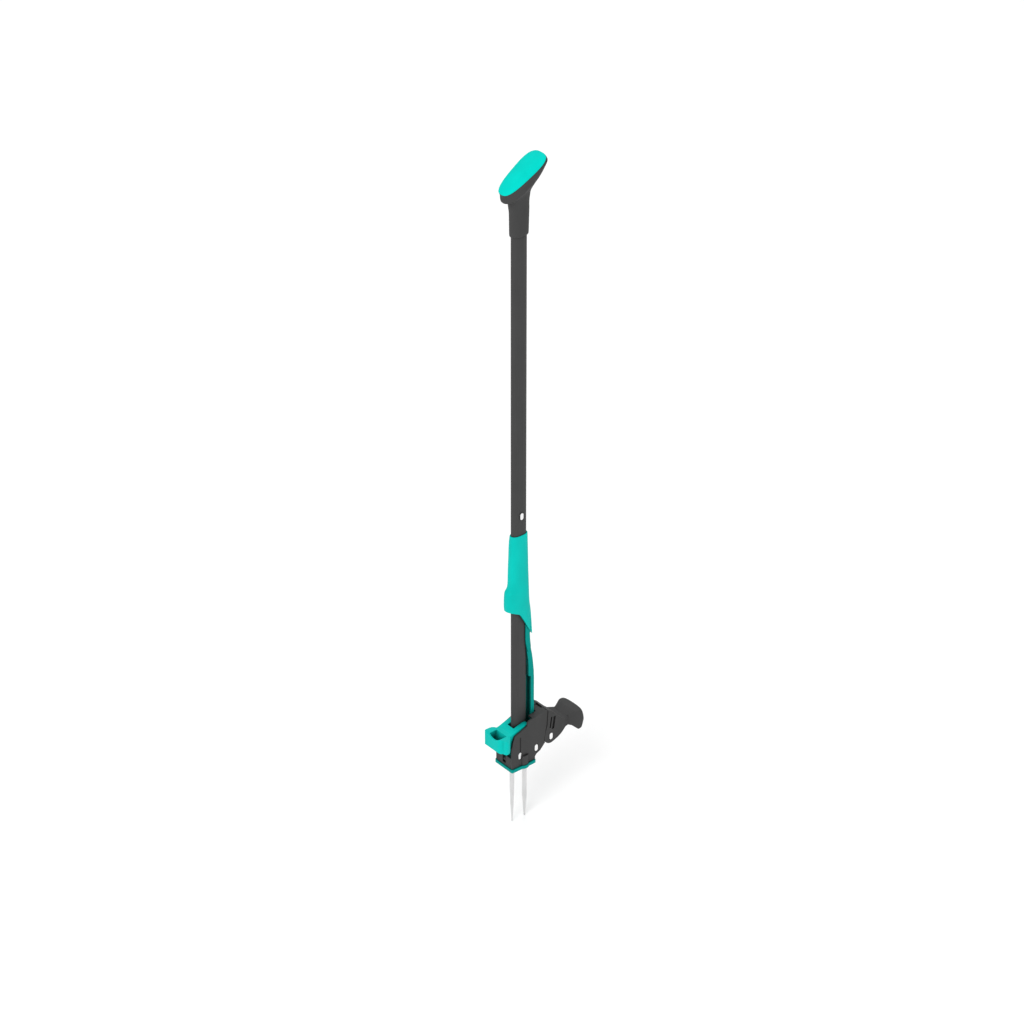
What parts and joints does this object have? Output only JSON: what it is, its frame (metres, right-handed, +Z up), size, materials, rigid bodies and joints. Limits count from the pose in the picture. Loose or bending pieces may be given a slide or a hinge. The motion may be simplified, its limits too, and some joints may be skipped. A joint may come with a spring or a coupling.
{
  "type": "stand up weeder",
  "caption": "Long-handled garden weed puller with closing steel tines, a foot pedal, a sliding ejector sleeve and a padded top grip.",
  "frame": {"origin": "on the shaft's axis, level with the tips of the tines", "axes": "+Z up the shaft from the tine tips to the handle, +X towards the foot pedal, -X towards the yoke, Y across the head along its pivot pins"},
  "size_m": [0.1582, 0.051, 1.0885],
  "materials": {
    "shaft_paint": "satin dark grey paint on an aluminium tube",
    "dark_plastic": "fine matt moulded dark grey plastic",
    "teal_plastic": "semi-gloss moulded teal plastic",
    "teal_soft": "matt soft teal grip",
    "stainless": "brushed stainless steel",
    "spring_steel": "drawn spring wire",
    "jaw_steel": "zinc-plated pressed and cast steel",
    "zinc": "zinc-plated steel",
    "acetal": "natural acetal"
  },
  "bodies": {
    "frame": {"tube": "shaft_paint", "spring_anchor": "zinc", "spring_plug": "acetal", "ejector_spring": "spring_steel", "pedal_spring": "spring_steel", "handle_core": "dark_plastic", "handle_pad": "teal_soft", "handle_screw": "zinc", "housing_left": "dark_plastic", "housing_right": "dark_plastic", "tube_bolt_1": "zinc", "tube_bolt_2": "zinc", "shell_screw_1": "zinc", "shell_screw_2": "zinc", "shell_screw_3": "zinc", "jaw_pin": "stainless", "rear_pin_right": "stainless", "rear_pin_left": "stainless", "jaw_pin_clip": "spring_steel"},
    "ejector": {"sleeve": "teal_plastic", "push_rod": "teal_plastic", "rod_screw": "zinc", "ejector_plate": "teal_plastic", "plate_screw": "zinc"},
    "front_jaw": {"yoke": "teal_plastic", "front_tine": "stainless", "front_tine_rivet": "zinc"},
    "rear_jaw": {"rear_jaw": "jaw_steel", "rear_tine": "stainless", "rear_tine_rivet": "zinc"},
    "pedal": {"pedal": "dark_plastic", "pedal_pin": "stainless", "pedal_pin_clip": "spring_steel"},
    "links": {"link_left": "jaw_steel", "link_right": "jaw_steel"}
  },
  "joints": [
    {"name": "eject_slide", "type": "slide", "parent": "frame", "child": "ejector", "axis": [0, 0, -1], "range_m": [0, 0.078], "stiffness_N_per_m": 60, "springref_m": -0.1, "deforming": ["ejector_spring"]},
    {"name": "pedal_hinge", "type": "hinge", "parent": "frame", "child": "pedal", "pos_m": [0.0477, 0, 0.1378], "axis": [0, 1, 0], "range_deg": [0, 22], "stiffness_Nm_per_rad": 1.5, "springref_deg": -17.19, "deforming": ["pedal_spring"]},
    {"name": "front_jaw_hinge", "type": "hinge", "parent": "frame", "child": "front_jaw", "pos_m": [-0.0113, 0, 0.1274], "axis": [0, 1, 0], "range_deg": [-4.9, 0]},
    {"name": "rear_jaw_hinge", "type": "hinge", "parent": "frame", "child": "rear_jaw", "pos_m": [0.019, 0, 0.1298], "axis": [0, 1, 0], "range_deg": [0, 4.9]},
    {"name": "link_slide", "type": "slide", "parent": "frame", "child": "links", "axis": [0.989, 0, -0.1479], "range_m": [0, 0.00275]}
  ],
  "couplings": [
    {"joint": "front_jaw_hinge", "follows": "pedal_hinge", "ratio": -0.22263},
    {"joint": "rear_jaw_hinge", "follows": "pedal_hinge", "ratio": 0.22263},
    {"joint": "link_slide", "follows": "pedal_hinge", "m_per_rad": 0.007142}
  ]
}
